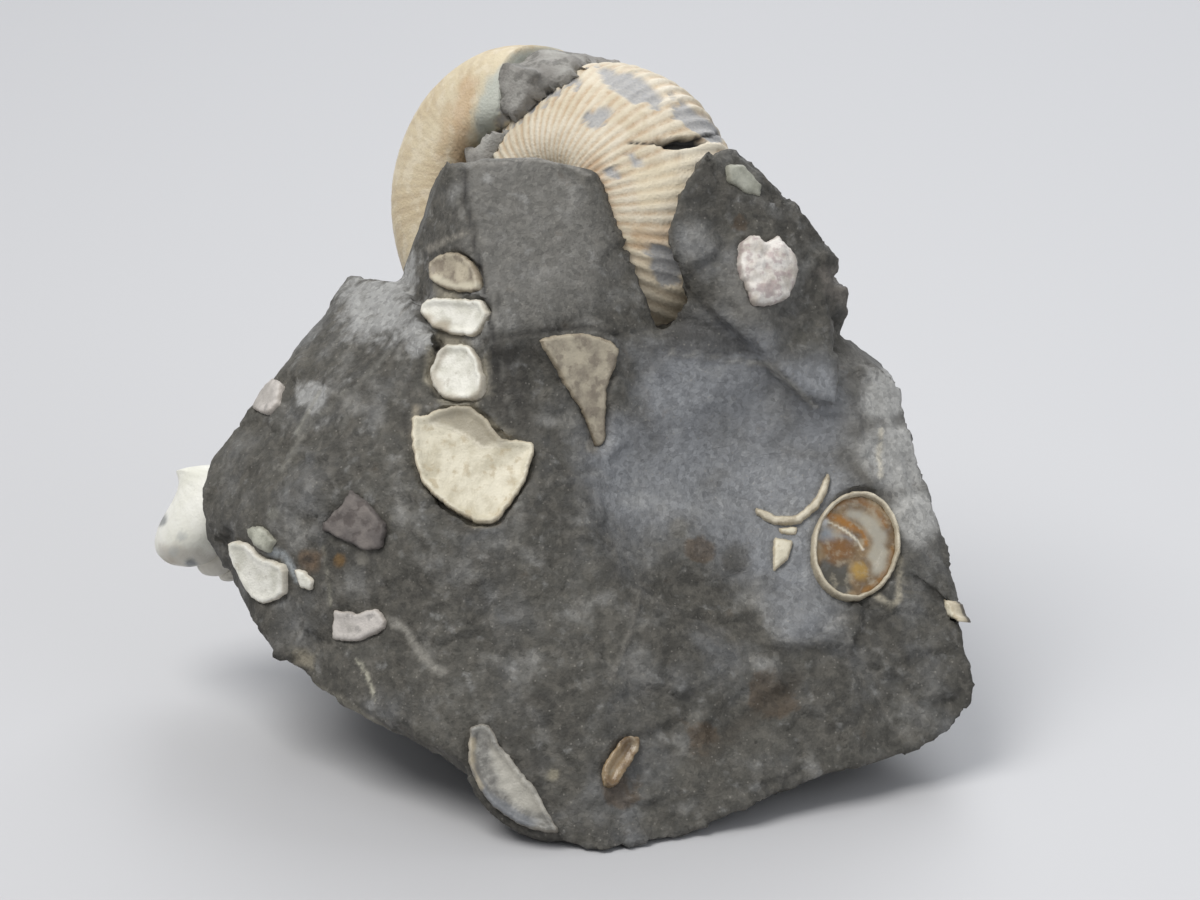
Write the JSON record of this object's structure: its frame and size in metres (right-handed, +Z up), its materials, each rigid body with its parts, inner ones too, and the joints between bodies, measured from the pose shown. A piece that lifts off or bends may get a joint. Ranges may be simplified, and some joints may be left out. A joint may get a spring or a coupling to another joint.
{
  "type": "ammonite fossil in matrix",
  "caption": "Ribbed hook-shaped ammonite standing out of a broken block of dark shale that also holds broken bits of other shells; rests on a small flat spot.",
  "frame": {"origin": "on the flat spot that the block rests on, under its middle", "axes": "+Z up; -Y towards the broken front face with the cut shell sections; +X to the right as seen from the front"},
  "size_m": [0.0714, 0.0636, 0.0543],
  "materials": {
    "shale": "rough, broken",
    "ammonite_shell": "satin, ribbed",
    "white_shell": "satin, chalky",
    "cream_shell": "satin",
    "beige_shell": "satin, thin",
    "grey_shell": "satin, pearly",
    "slate": "rough",
    "calcite": "glossy, crystalline"
  },
  "bodies": {
    "root": {"beige_chip": "beige_shell", "chamber_1": "beige_shell", "chamber_2": "white_shell", "chamber_3": "white_shell", "chamber_4": "cream_shell", "chip_bar": "cream_shell", "chip_stub": "cream_shell", "edge_shell_left": "grey_shell", "edge_shell_right": "cream_shell", "fan_shell": "beige_shell", "grey_chip": "grey_shell", "mouth_fill": "slate", "oyster_chip": "white_shell", "rim_shell": "grey_shell", "ring_calcite": "calcite", "ring_shell": "cream_shell", "scaphites_shell": "ammonite_shell", "shale_block": "shale", "shoulder_shell": "grey_shell", "slate_flake": "slate", "sliver_arc": "cream_shell", "snail_shell": "white_shell", "tube_shell": "calcite", "white_chip_left": "white_shell", "white_chip_small": "white_shell"}
  },
  "joints": []
}
